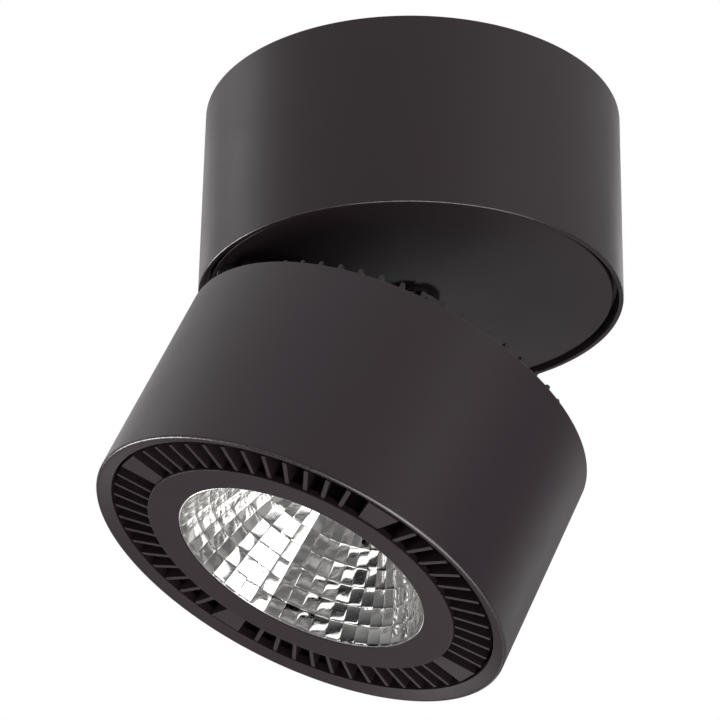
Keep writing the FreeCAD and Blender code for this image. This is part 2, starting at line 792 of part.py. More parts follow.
def heat_sink():
    """The casting: a cup round the reflector, its base plate, a hub, and fins and webs all round."""
    cup = turned([(0, plate_back), (core_outer, plate_back), (core_outer, seat_z), (core_inner, seat_z),
                  (core_inner, plate_front), (0, plate_front)])
    hub = ring(hub_radius, hub_radius - hub_wall, plate_back - plate_thickness / 2, hub_height)
    posts = [moved(ring(cover_post_radius, 0, plate_back - plate_thickness / 2, hub_height),
                   side * cover_screw_reach, 0, 0) for side in (-1, 1)]
    first_fin = (90.0 - fin_pitch * (fins_per_quarter - 1)) / 2
    one_fin = fin()
    one_web = web()
    blades = []
    for web_angle in web_angles:
        blades.append(turned_about_z(one_web, web_angle))
        for place in range(fins_per_quarter):
            blades.append(turned_about_z(one_fin, web_angle + first_fin + fin_pitch * place))
    pad_outer = shell_inner - shell_boss_length - screw_play
    pad = block(-pad_outer, -pad_inner_edge, -ear_outer, ear_outer, plate_back - plate_thickness / 2, 0)
    body = cup.multiFuse([hub, pad] + posts + blades)
    bay = block(-body_radius, -pad_inner_edge, -bay_half, bay_half, 0, fin_proud + cut_overrun)
    boss_pocket = block(-body_radius, -pad_outer, -shell_boss_half - bay_play, shell_boss_half + bay_play,
                        -shell_boss_depth - bay_play, fin_proud)
    tab_pocket = block(shell_inner - shell_tab_reach - screw_play, body_radius, -web_outer_width, web_outer_width,
                       -shell_tab_thickness, fin_proud + cut_overrun)
    cover_seat = ring(hub_radius + web_pad_play, 0, hub_height, fin_proud + cut_overrun)
    cuts = [bay, boss_pocket, cover_seat, turned_about_z(tab_pocket, web_angles[2])]
    cuts += at_lug_screws(screw_hole(m3_screw, lug_screw_length, False))[:2]
    cuts.append(at_shell_screw(screw_hole(m3_screw, shell_screw_length, False)))
    cuts += at_holder_screws(screw_hole(m3_screw, holder_screw_length, False))
    cuts += at_cover_screws(screw_hole(m3_screw, cover_screw_length, False))
    cuts += [moved(ring(lead_radius + lead_hole_play, 0, plate_front - cut_overrun, plate_back + cut_overrun),
                   side * lead_spacing / 2, lead_reach, 0) for side in (-1, 1)]
    return body.cut(cuts).removeSplitter()


def shell_screw():
    """The screw through the shell's tab into the web."""
    return at_shell_screw(screw(m3_screw, shell_screw_length, True))


def thermal_pad():
    """The pad between the board and the casting."""
    half = board_side / 2
    return block(-half, half, -half, half, plate_front - thermal_pad_thickness, plate_front)


def cob_board():
    """The emitter's substrate."""
    half = board_side / 2
    return block(-half, half, -half, half, board_front, plate_front - thermal_pad_thickness)


def cob_emitter():
    """The round light source on the board."""
    return ring(emitter_radius, 0, board_front - emitter_thickness, board_front)


def cob_holder():
    """The moulded holder over the board: a window, a pocket for the board, and a notch for the leads."""
    body = ring(holder_radius, holder_window, holder_front, plate_front)
    half = board_side / 2 + holder_play
    pocket = block(-half, half, -half, half, board_front, plate_front + cut_overrun)
    notch = block(-lead_notch_half, lead_notch_half, half + lead_radius, holder_radius + cut_overrun,
                  holder_front - cut_overrun, plate_front + cut_overrun)
    return body.cut([pocket, notch] + at_holder_screws(screw_hole(m3_screw, holder_height, False)))


def holder_screws():
    """The holder's screws into the casting."""
    return group(at_holder_screws(screw(m3_screw, holder_screw_length, False)))


def led_leads():
    """The two leads from the holder through the plate, turned towards the grommet in mitred bends."""
    start = plate_front - holder_height / 2
    level = plate_back + lead_rise
    leads = []
    for side in (-1, 1):
        x = side * lead_spacing / 2
        route = [Vector(x, lead_reach, start), Vector(x, lead_reach, level - lead_rise / 3),
                 Vector(x, lead_reach - lead_rise / 3, level), Vector(x, grommet_bore, level)]
        path = Part.makePolygon(route)
        section = Part.Wire(Part.makeCircle(lead_radius, route[0], Vector(0, 0, 1)))
        leads.append(path.makePipeShell([section], True, False, 1))
    return group(leads)


def reflector():
    """The mirror: flat facets in rings, wide at the mouth and narrow at the emitter, with a flange at the mouth."""
    depth = holder_front - flange_z
    mirror = []
    back = []
    for row in range(facet_rows + 1):
        fall = row / facet_rows
        radius = math.sqrt(mirror_radius ** 2 + (reflector_neck_radius ** 2 - mirror_radius ** 2) * fall)
        mirror.append(facet_ring(radius, flange_z + depth * fall))
        back.append(facet_ring(radius + reflector_wall, flange_z + depth * fall))
    flange_radius_out = core_inner - skirt_play - skirt_wall - reflector_flange_play
    back[0] = facet_ring(mirror_radius + reflector_wall, flange_z + reflector_flange)
    faces = []
    for rings in (mirror, back):
        for upper, lower in zip(rings, rings[1:]):
            for column in range(facet_columns):
                after = (column + 1) % facet_columns
                faces.append(facet(upper[column], upper[after], lower[after], lower[column]))
    front_rim = [facet_ring(flange_radius_out, flange_z), facet_ring(flange_radius_out, flange_z + reflector_flange)]
    for inner, outer in ((mirror[0], front_rim[0]), (back[0], front_rim[1]), (mirror[-1], back[-1])):
        hole = Part.makePolygon(inner + inner[:1])
        edge = Part.makePolygon(outer + outer[:1])
        faces.append(Part.Face([edge, hole]))
    for column in range(facet_columns):
        after = (column + 1) % facet_columns
        faces.append(facet(front_rim[0][column], front_rim[0][after], front_rim[1][after], front_rim[1][column]))
    shell = Part.Shell(faces)
    shell.sewShape()
    solid = Part.Solid(Part.Shell(shell.Faces))
    if solid.Volume < 0:
        solid.reverse()
    return solid


def facet_ring(radius, height):
    """The corners of one ring of facets."""
    step = 2 * math.pi / facet_columns
    return [Vector(radius * math.cos(step * column), radius * math.sin(step * column), height)
            for column in range(facet_columns)]


def facet(a, b, c, d):
    """One flat facet."""
    return Part.Face(Part.makePolygon([a, b, c, d, a]))


def bezel_ring():
    """The coned ring round the mouth, on the cup's end, with a skirt that plugs into the cup."""
    skirt_outer = core_inner - skirt_play
    skirt_inner = skirt_outer - skirt_wall
    ring_body = turned([(bezel_radius, front_z + bezel_setback), (bezel_radius, seat_z), (skirt_outer, seat_z),
                        (skirt_outer, seat_z + skirt_length), (skirt_inner, seat_z + skirt_length),
                        (skirt_inner, flange_z), (mouth_radius, flange_z), (mouth_radius, mouth_z)])
    return break_edges(ring_body, bezel_radius, front_z + bezel_setback, bezel_edge_break)


def rear_cover():
    """The round lid over the hub, where the lead goes in."""
    cover = ring(hub_radius, grommet_radius - grommet_lip, hub_height, hub_height + cover_thickness)
    return cover.cut(at_cover_screws(screw_hole(m3_screw, cover_thickness, False)))


def cover_screws():
    """The rear cover's screws."""
    return group(at_cover_screws(screw(m3_screw, cover_screw_length, False)))


def lead_grommet():
    """The grooved grommet in the rear cover."""
    low = hub_height
    high = hub_height + cover_thickness
    waist = grommet_radius - grommet_lip
    return turned([(grommet_bore, low - grommet_lip), (grommet_radius, low - grommet_lip), (grommet_radius, low),
                   (waist, low), (waist, high), (grommet_radius, high), (grommet_radius, high + grommet_lip),
                   (grommet_bore, high + grommet_lip)])


fixed_pieces = (canopy_shell, canopy_floor, floor_screws, bearing_washer, disc_spring, canopy_stop, ceiling_bracket,
                set_screws, driver_case, driver_cover, driver_screws, terminal_block, terminal_screws,
                terminal_fixing_screw, cable_clamp, clamp_screws, earth_screw, earth_washer, swivel_disc, pivot_tube,
                pivot_bush, lock_nut, swivel_stop, hinge_bracket, bracket_screws)
head_pieces = (hinge_lug, lug_screws, hinge_pin, hinge_nut, friction_washers, head_shell, heat_sink, shell_screw,
               thermal_pad, cob_board, cob_emitter, cob_holder, holder_screws, led_leads, reflector, bezel_ring,
               rear_cover, cover_screws, lead_grommet)

os.makedirs("parts", exist_ok=True)
for make in fixed_pieces:
    make().exportStep("parts/" + make.__name__ + ".step")
for make in head_pieces:
    set_head(make()).exportStep("parts/" + make.__name__ + ".step")
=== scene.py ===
import json
import math

import bmesh
import bpy
from mathutils import Matrix, Quaternion, Vector, noise as noise_field


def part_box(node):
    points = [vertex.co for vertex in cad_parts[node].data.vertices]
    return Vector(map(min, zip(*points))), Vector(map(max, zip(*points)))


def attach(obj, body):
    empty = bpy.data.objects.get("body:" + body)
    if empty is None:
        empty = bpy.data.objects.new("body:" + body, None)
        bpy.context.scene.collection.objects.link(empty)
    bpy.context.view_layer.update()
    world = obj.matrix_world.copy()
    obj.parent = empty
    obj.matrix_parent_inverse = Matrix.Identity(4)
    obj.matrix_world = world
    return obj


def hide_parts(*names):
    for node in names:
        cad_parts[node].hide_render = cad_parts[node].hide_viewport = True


# A round ceiling spotlight: a can, a swivelling disc in its underside, and a finned head on a hinge.
# Metres. Head pieces are drawn with the head closed: their heights count from the head's back edge.

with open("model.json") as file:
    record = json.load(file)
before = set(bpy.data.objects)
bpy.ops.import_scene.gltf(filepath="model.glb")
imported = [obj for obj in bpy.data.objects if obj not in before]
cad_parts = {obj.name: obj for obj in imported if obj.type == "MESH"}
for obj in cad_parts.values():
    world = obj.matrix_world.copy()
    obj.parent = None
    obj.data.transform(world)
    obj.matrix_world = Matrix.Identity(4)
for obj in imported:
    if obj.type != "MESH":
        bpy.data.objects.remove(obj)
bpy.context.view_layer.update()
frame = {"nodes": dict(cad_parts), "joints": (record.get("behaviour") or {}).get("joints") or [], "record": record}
mm = 0.001

# Sizes from the frame
tilt_joint = next(joint for joint in frame["joints"] if joint["name"] == "tilt")
hinge = Vector(tilt_joint["pos_m"])
rest_tilt = -math.radians(tilt_joint["range_deg"][0])
body_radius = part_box("canopy_shell")[1].x
lip_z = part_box("canopy_shell")[0].z
floor_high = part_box("canopy_floor")[1].z
disc_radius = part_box("swivel_disc")[1].x
disc_low, disc_high = (corner.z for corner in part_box("swivel_disc"))
untilt = Matrix.Translation(hinge) @ Matrix.Rotation(-rest_tilt, 4, "Y") @ Matrix.Translation(-hinge)


def closed_box(node):
    """Lowest and highest corner of a head node with the head closed."""
    corners = [untilt @ vertex.co for vertex in frame["nodes"][node].data.vertices]
    low = Vector(min(corner[axis] for corner in corners) for axis in range(3))
    high = Vector(max(corner[axis] for corner in corners) for axis in range(3))
    return low, high


back_z = closed_box("head_shell")[1].z
head_place = untilt.inverted() @ Matrix.Translation((0, 0, back_z))
front_z = closed_box("head_shell")[0].z - back_z
fin_front = closed_box("heat_sink")[0].z - back_z
fin_proud = closed_box("heat_sink")[1].z - back_z
bezel_radius = closed_box("bezel_ring")[1].x
bezel_front = closed_box("bezel_ring")[0].z - back_z
plate_front = closed_box("thermal_pad")[1].z - back_z
holder_front = closed_box("cob_holder")[0].z - back_z
flange_z = closed_box("reflector")[0].z - back_z
flange_radius = closed_box("reflector")[1].y
hub_radius = closed_box("rear_cover")[1].y
hub_height = closed_box("rear_cover")[0].z - back_z

# The can
canopy_wall = 1.6 * mm
canopy_lip_round = 0.55 * mm
canopy_inner_round = 0.3 * mm
ledge_width = 6.0 * mm
ledge_height = 3.0 * mm
disc_round = 0.45 * mm
disc_bore = 6.1 * mm
floor_skin = 0.1 * mm

# The head's shell
head_wall = 3.0 * mm
rim_band = 4.7 * mm
rim_slope = 2.3 * mm
rim_land = 3.0 * mm
front_round = 0.9 * mm
back_round = 0.5 * mm
rim_round = 0.25 * mm
boss_length = 7.5 * mm
boss_half = 8.0 * mm
boss_depth = 12.0 * mm
tab_reach = 9.0 * mm
tab_half = 4.5 * mm
tab_thickness = 2.5 * mm

# The heat sink
quarters = 4
fins_per_quarter = 12
fin_pitch = math.radians(6.25)
web_turn = math.radians(9.0)
fin_thickness = 1.35 * mm
fin_edge_round = 0.16 * mm
shadow_gap = 1.0 * mm
bezel_play = 0.1 * mm
web_outer_width = 10.5 * mm
web_inner_width = 6.6 * mm
web_pad_front = 9.0 * mm
web_pad_back = 14.0 * mm
web_pad_play = 0.05 * mm
core_inset = 2.1 * mm
core_wall = 3.0 * mm
plate_thickness = 8.0 * mm
hub_wall = 2.5 * mm
root_depth = 1.0 * mm
post_radius = 3.2 * mm
post_reach = 17.0 * mm
pad_outer = 58.4 * mm
pad_inner = 36.5 * mm
pad_half = 8.95 * mm
bay_half = 13.95 * mm
pocket_play = 0.8 * mm
tab_play = 0.1 * mm
cut_overrun = 1.0 * mm

# The leads behind the plate
lead_radius = 0.8 * mm
lead_bend = 3.5 * mm
lead_steps = 4

# The bezel and the mirror
bezel_width = 10.1 * mm
bezel_seat = 2.15 * mm
bezel_outer_round = 0.35 * mm
bezel_mouth_round = 0.14 * mm
bezel_lip = 0.6 * mm
skirt_outer = 46.4 * mm
skirt_wall = 1.0 * mm
skirt_length = 7.0 * mm
mirror_edge = 0.6 * mm
mirror_neck = 12.5 * mm
mirror_wall = 1.0 * mm
mirror_flange = 1.2 * mm
facet_columns = 48
facet_rows = 8
facet_shares = (0, 0.04, 0.13, 0.35, 0.65, 0.87, 0.96, 1)
flute_bulge = 0.10 * mm
facet_bulge = 0.21 * mm
crown_edge = 0.4
crown_power = 12
still_rim = 1.0 * mm
mirror_waves = 0.10 * mm
wave_length = 5.0 * mm
bead_play = 0.04 * mm
bead_height = 0.40 * mm
bead_steps = 6
mirror_turn = math.radians(2.25)

fin_radius = body_radius - rim_band - shadow_gap
lip_radius = body_radius - rim_band
shell_inner = body_radius - head_wall
mouth_radius = bezel_radius - bezel_width
mirror_radius = mouth_radius - mirror_edge
core_outer = bezel_radius - core_inset
core_inner = core_outer - core_wall
seat_z = bezel_front + bezel_seat
plate_back = plate_front + plate_thickness
blade_inner = bezel_radius + bezel_play
core_middle = core_outer - core_wall / 2
hub_middle = hub_radius - hub_wall / 2
plate_middle = plate_back - plate_thickness / 2

# How finely shapes are drawn, and from which turn on an edge counts as sharp
circle_steps = 240
arc_steps = 5
edge_steps = 2
sharp_turn = math.radians(35)
bevel_turn = math.radians(20)
soft_turn = math.radians(40)
flat_turn = math.radians(1)
facet_turn = math.radians(5)
same_place = mm / 1000
weld_reach = mm / 100

# Where the highlight is painted on a round edge: how much of a face's normal points down the tube, from least to
# most
highlight_least_down = 0.45
highlight_most_down = 0.85

# The patterns of the finishes: their scales in waves a metre, and the part of a noise's range that is used
grain_share = 0.6
noise_low = 0.3
noise_high = 0.7
mottle_scale = 55.0
peel_ratio = 3.5
scratch_scale = 420.0
cloud_scale = 120.0


# Shader groups


def new_group(name, inputs, outputs):
    """An empty shader group with named inputs (name, kind, value) and outputs (name, kind)."""
    group = bpy.data.node_groups.new(name, "ShaderNodeTree")
    for label, kind, value in inputs:
        socket = group.interface.new_socket(label, in_out="INPUT", socket_type=kind)
        socket.default_value = value
    for label, kind in outputs:
        group.interface.new_socket(label, in_out="OUTPUT", socket_type=kind)
    return group, group.nodes.new("NodeGroupInput"), group.nodes.new("NodeGroupOutput")


def add(tree, kind, settings=None, **links):
    """A node with its settings, and values or links for its inputs, named or numbered from i0."""
    node = tree.nodes.new(kind)
    for key, value in (settings or {}).items():
        setattr(node, key, value)
    for key, value in links.items():
        numbered = key[0] == "i" and key[1:].isdigit()
        socket = node.inputs[int(key[1:]) if numbered else key.replace("_", " ")]
        if isinstance(value, bpy.types.NodeSocket):
            tree.links.new(value, socket)
        else:
            socket.default_value = value
    return node


def noise(tree, where, scale, detail, roughness=0.5):
    """A noise texture's value over some coordinates."""
    node = add(tree, "ShaderNodeTexNoise", Vector=where, Scale=scale, Detail=detail, Roughness=roughness)
    return node.outputs["Fac"]


def math_node(tree, operation, first, second=0.0):
    """One arithmetic step."""
    return add(tree, "ShaderNodeMath", {"operation": operation}, i0=first, i1=second).outputs[0]


def scaled(tree, vector, factor):
    """A colour or a vector times a value."""
    return add(tree, "ShaderNodeVectorMath", {"operation": "SCALE"}, i0=vector, Scale=factor).outputs[0]


def spread(tree, value, low, high):
    """A noise value, which stays near a half, spread over a range."""
    node = add(tree, "ShaderNodeMapRange", Value=value, From_Min=noise_low, From_Max=noise_high,
               To_Min=low, To_Max=high)
    return node.outputs["Result"]


def coat_group():
    """A sprayed or moulded surface: a fine grain, a slow mottle, and the height of grain and orange peel."""
    group, given, result = new_group(
        "sprayed grain",
        [("Colour", "NodeSocketColor", (0.05, 0.05, 0.05, 1)), ("Mottle", "NodeSocketFloat", 0.1),
         ("Grain size", "NodeSocketFloat", 0.4), ("Roughness", "NodeSocketFloat", 0.5),
         ("Roughness spread", "NodeSocketFloat", 0.02)],
        [("Colour", "NodeSocketColor"), ("Roughness", "NodeSocketFloat"), ("Height", "NodeSocketFloat")])
    where = add(group, "ShaderNodeTexCoord").outputs["Object"]
    grain_scale = math_node(group, "DIVIDE", 1 / mm, given.outputs["Grain size"])
    grain = noise(group, where, grain_scale, 2.0)
    peel = noise(group, where, math_node(group, "DIVIDE", grain_scale, peel_ratio), 1.0)
    slow = noise(group, where, mottle_scale, 3.0, 0.6)
    light = math_node(group, "ADD", math_node(group, "MULTIPLY", spread(group, grain, -1.0, 1.0), 0.5),
                      math_node(group, "MULTIPLY", spread(group, slow, -1.0, 1.0), 0.5))
    share = math_node(group, "ADD", 1.0, math_node(group, "MULTIPLY", light, given.outputs["Mottle"]))
    group.links.new(scaled(group, given.outputs["Colour"], share), result.inputs["Colour"])
    rough = math_node(group, "MULTIPLY", spread(group, slow, -1.0, 1.0), given.outputs["Roughness spread"])
    group.links.new(math_node(group, "ADD", given.outputs["Roughness"], rough), result.inputs["Roughness"])
    height = math_node(group, "ADD", math_node(group, "MULTIPLY", grain, grain_share),
                       math_node(group, "MULTIPLY", peel, 1 - grain_share))
    group.links.new(height, result.inputs["Height"])
    return group


def rubbed_group():
    """Plated or turned metal: a slow cloud in the plating and fine scratches that run mostly one way."""
    group, given, result = new_group(
        "plated cloud",
        [("Colour", "NodeSocketColor", (0.5, 0.5, 0.5, 1)), ("Cloud", "NodeSocketFloat", 0.12),
         ("Roughness", "NodeSocketFloat", 0.3), ("Stretch", "NodeSocketVector", (1.0, 1.0, 8.0))],
        [("Colour", "NodeSocketColor"), ("Roughness", "NodeSocketFloat"), ("Height", "NodeSocketFloat")])
    where = add(group, "ShaderNodeTexCoord").outputs["Object"]
    along = add(group, "ShaderNodeVectorMath", {"operation": "MULTIPLY"}, i0=where,
                i1=given.outputs["Stretch"])
    scratch = noise(group, along.outputs[0], scratch_scale, 4.0, 0.7)
    cloud = noise(group, where, cloud_scale, 3.0, 0.6)
    share = math_node(group, "ADD", 1.0, math_node(group, "MULTIPLY", spread(group, cloud, -1.0, 1.0),
                                                   given.outputs["Cloud"]))
    group.links.new(scaled(group, given.outputs["Colour"], share), result.inputs["Colour"])
    rough = math_node(group, "ADD", given.outputs["Roughness"], spread(group, scratch, -0.06, 0.1))
    group.links.new(rough, result.inputs["Roughness"])
    group.links.new(scratch, result.inputs["Height"])
    return group


sprayed_grain = coat_group()
plated_cloud = rubbed_group()


def finish_of(name, group, values, metallic=0.0, bump=0.03 * mm, specular=0.5):
    """A material: one shader, fed by a group's colour, roughness and height."""
    material = bpy.data.materials.new(name)
    material.use_nodes = True
    tree = material.node_tree
    shader = tree.nodes["Principled BSDF"]
    shader.inputs["Metallic"].default_value = metallic
    shader.inputs["Specular IOR Level"].default_value = specular
    surface = tree.nodes.new("ShaderNodeGroup")
    surface.node_tree = group
    for key, value in values.items():
        surface.inputs[key].default_value = value
    tree.links.new(surface.outputs["Colour"], shader.inputs["Base Color"])
    tree.links.new(surface.outputs["Roughness"], shader.inputs["Roughness"])
    relief = tree.nodes.new("ShaderNodeBump")
    relief.inputs["Distance"].default_value = bump
    relief.inputs["Strength"].default_value = 1.0
    tree.links.new(surface.outputs["Height"], relief.inputs["Height"])
    tree.links.new(relief.outputs["Normal"], shader.inputs["Normal"])
    return material


def sprayed(name, colour, grain, roughness, mottle=0.08, **more):
    """A painted or moulded finish."""
    values = {"Colour": (*colour, 1), "Mottle": mottle, "Grain size": grain, "Roughness": roughness}
    return finish_of(name, sprayed_grain, values, **more)


def plated(name, colour, roughness, cloud=0.1, **more):
    """A bare or plated metal finish."""
    return finish_of(name, plated_cloud, {"Colour": (*colour, 1), "Cloud": cloud, "Roughness": roughness},
                     metallic=1.0, **more)


powder_coat = sprayed("powder coat", (0.027, 0.014, 0.0195), 0.35, 0.48, mottle=0.05)
head_coat = sprayed("head powder coat", (0.0275, 0.014, 0.021), 0.35, 0.48, mottle=0.05)
sink_coat = sprayed("casting coat", (0.031, 0.018, 0.022), 0.5, 0.48, mottle=0.12)
bezel_coat = sprayed("bezel coat", (0.029, 0.016, 0.022), 0.25, 0.50, specular=0.36)
# Painted highlight: a brighter, glossier metal for a band along the rounded edges of the can's lip and the head's
# front
edge_highlight_finish = plated("painted edge highlight", (0.17, 0.16, 0.17), 0.26)
rolled_rim = plated("rolled rim", (0.92, 0.92, 0.91), 0.20, cloud=0.03)
mirror_film = plated("mirror film", (0.91, 0.90, 0.89), 0.06, cloud=0.03, bump=0.002 * mm)
zinc_plate = plated("zinc plate", (0.56, 0.57, 0.58), 0.32)
black_oxide = sprayed("black oxide", (0.018, 0.018, 0.019), 0.3, 0.38, mottle=0.15)
bright_zinc = plated("bright zinc", (0.62, 0.63, 0.65), 0.24)
plain_brass = plated("brass", (0.74, 0.52, 0.22), 0.28)
slip_plastic = sprayed("slip plastic", (0.66, 0.64, 0.58), 0.6, 0.5)
driver_plastic = sprayed("driver housing", (0.72, 0.72, 0.70), 0.7, 0.55, mottle=0.03)
terminal_plastic = sprayed("terminal moulding", (0.62, 0.62, 0.58), 0.5, 0.4, mottle=0.04)
soft_rubber = sprayed("soft rubber", (0.014, 0.014, 0.014), 0.5, 0.7, mottle=0.1)
pad_silicone = sprayed("silicone pad", (0.42, 0.43, 0.46), 0.3, 0.7)
board_mask = sprayed("solder mask", (0.80, 0.80, 0.78), 1.0, 0.25, mottle=0.02)
phosphor_gel = sprayed("phosphor gel", (0.80, 0.52, 0.06), 0.3, 0.3, mottle=0.06)
holder_plastic = sprayed("holder moulding", (0.74, 0.74, 0.71), 0.5, 0.45, mottle=0.03)
lead_jacket = sprayed("lead jacket", (0.42, 0.03, 0.02), 0.4, 0.45)

finish_by_slot = {
    "dark_coat": powder_coat, "head_coat": head_coat, "sink_coat": sink_coat, "bezel_coat": bezel_coat,
    "mirror_film": mirror_film, "plain_steel": zinc_plate, "black_screw": black_oxide,
    "bright_screw": bright_zinc, "brass": plain_brass, "slip_plastic": slip_plastic,
    "driver_plastic": driver_plastic, "terminal_plastic": terminal_plastic, "soft_rubber": soft_rubber,
    "pad_silicone": pad_silicone, "board_ceramic": board_mask, "phosphor": phosphor_gel,
    "holder_plastic": holder_plastic, "lead_jacket": lead_jacket}

for part in frame["record"]["subparts"]:
    node = frame["nodes"][part["node"]]
    node.data.materials.clear()
    node.data.materials.append(finish_by_slot[part["material_slot"]])


# Mesh helpers


def softened(outline):
    """An outline of (x, y, rounding) corners as plain points, with an arc at each rounded corner."""
    points = []
    for place, (x, y, rounding) in enumerate(outline):
        corner = Vector((x, y))
        if rounding == 0:
            points.append(corner)
            continue
        back = (Vector(outline[place - 1][:2]) - corner).normalized()
        ahead = (Vector(outline[(place + 1) % len(outline)][:2]) - corner).normalized()
        half = back.angle(ahead) / 2
        centre = corner + (back + ahead).normalized() * rounding / math.sin(half)
        start = corner + back * rounding / math.tan(half) - centre
        end = corner + ahead * rounding / math.tan(half) - centre
        first = math.atan2(start.y, start.x)
        sweep = (math.atan2(end.y, end.x) - first + math.pi) % (2 * math.pi) - math.pi
        for step in range(arc_steps + 1):
            turn = first + sweep * step / arc_steps
            points.append(centre + rounding * Vector((math.cos(turn), math.sin(turn))))
    return points


def turned(outline, closed=True):
    """An outline of (radius, height, rounding) corners turned about the Z axis."""
    shape = bmesh.new()
    rings = []
    for radius, height in softened(outline):
        if radius < same_place:
            rings.append([shape.verts.new((0, 0, height))] * circle_steps)
            continue
        turns = [2 * math.pi * step / circle_steps for step in range(circle_steps)]
        rings.append([shape.verts.new((radius * math.cos(t), radius * math.sin(t), height)) for t in turns])
    for ring, after in zip(rings, rings[1:] + rings[:1] if closed else rings[1:]):
        for step in range(circle_steps):
            following = (step + 1) % circle_steps
            corners = [ring[step], ring[following], after[following], after[step]]
            kept = [corner for index, corner in enumerate(corners) if corner not in corners[:index]]
            if len(kept) > 2:
                shape.faces.new(kept)
    bmesh.ops.recalc_face_normals(shape, faces=shape.faces)
    return shape


def extruded(outline, low, high):
    """A prism from an outline of (x, y) points between two heights."""
    shape = bmesh.new()
    bottom = [shape.verts.new((x, y, low)) for x, y in outline]
    top = [shape.verts.new((x, y, high)) for x, y in outline]
    shape.faces.new(bottom)
    shape.faces.new(top)
    for place in range(len(outline)):
        after = (place + 1) % len(outline)
        shape.faces.new((bottom[place], bottom[after], top[after], top[place]))
    bmesh.ops.recalc_face_normals(shape, faces=shape.faces)
    return shape


def box_shape(x0, x1, y0, y1, z0, z1):
    """A box between two corners."""
    return extruded([(x0, y0), (x1, y0), (x1, y1), (x0, y1)], z0, z1)


def turn_shape(shape, angle, axis):
    """Turn a shape about an axis through the origin."""
    bmesh.ops.rotate(shape, cent=(0, 0, 0), matrix=Matrix.Rotation(angle, 3, axis), verts=shape.verts)


def with_soft_edges(shape, width):
    """The same shape with all its sharp edges rounded."""
    sharp = [edge for edge in shape.edges
             if len(edge.link_faces) == 2 and edge.calc_face_angle() > bevel_turn]
    bmesh.ops.bevel(shape, geom=sharp, offset=width, segments=edge_steps, profile=0.5, affect="EDGES")
    return shape


def joined(shapes):
    """Several shapes as one."""
    whole = bmesh.new()
    for shape in shapes:
        mesh = bpy.data.meshes.new("shape")
        shape.to_mesh(mesh)
        shape.free()
        whole.from_mesh(mesh)
        bpy.data.meshes.remove(mesh)
    return whole


def as_object(name, shape):
    """A shape as an object in the scene."""
    mesh = bpy.data.meshes.new(name)
    shape.to_mesh(mesh)
    shape.free()
    piece = bpy.data.objects.new(name, mesh)
    bpy.context.scene.collection.objects.link(piece)
    return piece


def built_shape(piece, *tools):
    """A piece with its modifiers applied, as a plain shape. The piece and its tools leave the scene."""
    mesh = bpy.data.meshes.new_from_object(piece.evaluated_get(bpy.context.evaluated_depsgraph_get()))
    for scrap in (piece, *tools):
        bpy.data.objects.remove(scrap)
    shape = bmesh.new()
    shape.from_mesh(mesh)
    bpy.data.meshes.remove(mesh)
    return shape


def shade(piece):
    """Smooth shading, with flat faces kept flat."""
    piece.data.shade_smooth()
    piece.data.set_sharp_from_angle(angle=sharp_turn)
    even = piece.modifiers.new("even shading", "WEIGHTED_NORMAL")
    even.keep_sharp = True


def stands_for(piece, body, material, slot, *nodes):
    """Dress a piece, make it ride on its body and hide the nodes that it replaces."""
    piece.data.materials.clear()
    piece.data.materials.append(material)
    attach(piece, body)
    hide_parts(*nodes)


def dress_faces(piece, material, test):
    """Give the faces of a dressed piece that pass a test a second finish."""
    piece.data.materials.append(material)
    for face in piece.data.polygons:
        if test(face):
            face.material_index = len(piece.data.materials) - 1


def paint_edge_highlight(piece, place, radius):
    """Painted highlight: a brighter metal finish on part of a round tube's outer lower edge, on the faces that
    point partly down the tube.
    """
    back = place.inverted()

    def in_highlight_band(face):
        down = -(back.to_3x3() @ face.normal).z
        return (back @ face.center).xy.length > radius and highlight_least_down < down < highlight_most_down

    dress_faces(piece, edge_highlight_finish, in_highlight_band)


def copies_tree():
    """Geometry nodes: copies of one piece round the Z axis, so many to each sector and a pitch apart."""
    tree = bpy.data.node_groups.new("copies round the axis", "GeometryNodeTree")
    tree.interface.new_socket("Piece", in_out="INPUT", socket_type="NodeSocketGeometry")
    for label, kind in (("Sectors", "NodeSocketInt"), ("Per sector", "NodeSocketInt"),
                        ("Start", "NodeSocketFloat"), ("Pitch", "NodeSocketFloat"),
                        ("Finish", "NodeSocketMaterial")):
        tree.interface.new_socket(label, in_out="INPUT", socket_type=kind)
    tree.interface.new_socket("Copies", in_out="OUTPUT", socket_type="NodeSocketGeometry")
    given = tree.nodes.new("NodeGroupInput").outputs
    index = tree.nodes.new("GeometryNodeInputIndex").outputs[0]
    count = math_node(tree, "MULTIPLY", given["Sectors"], given["Per sector"])
    sector = math_node(tree, "FLOOR", math_node(tree, "DIVIDE", index, given["Per sector"]))
    place = math_node(tree, "MODULO", index, given["Per sector"])
    sector_turn = math_node(tree, "DIVIDE", 2 * math.pi, given["Sectors"])
    place_turn = math_node(tree, "MULTIPLY", place, given["Pitch"])
    turn = math_node(tree, "ADD", math_node(tree, "MULTIPLY", sector, sector_turn),
                     math_node(tree, "ADD", given["Start"], place_turn))
    angles = add(tree, "ShaderNodeCombineXYZ", Z=turn).outputs[0]
    rotation = add(tree, "FunctionNodeEulerToRotation", i0=angles).outputs[0]
    points = add(tree, "GeometryNodePoints", Count=count).outputs[0]
    copies = add(tree, "GeometryNodeInstanceOnPoints", Points=points, Instance=given["Piece"],
                 Rotation=rotation).outputs[0]
    real = add(tree, "GeometryNodeRealizeInstances", Geometry=copies).outputs[0]
    dressed = add(tree, "GeometryNodeSetMaterial", Geometry=real, Material=given["Finish"]).outputs[0]
    tree.links.new(dressed, tree.nodes.new("NodeGroupOutput").inputs[0])
    return tree


copies_round_axis = copies_tree()


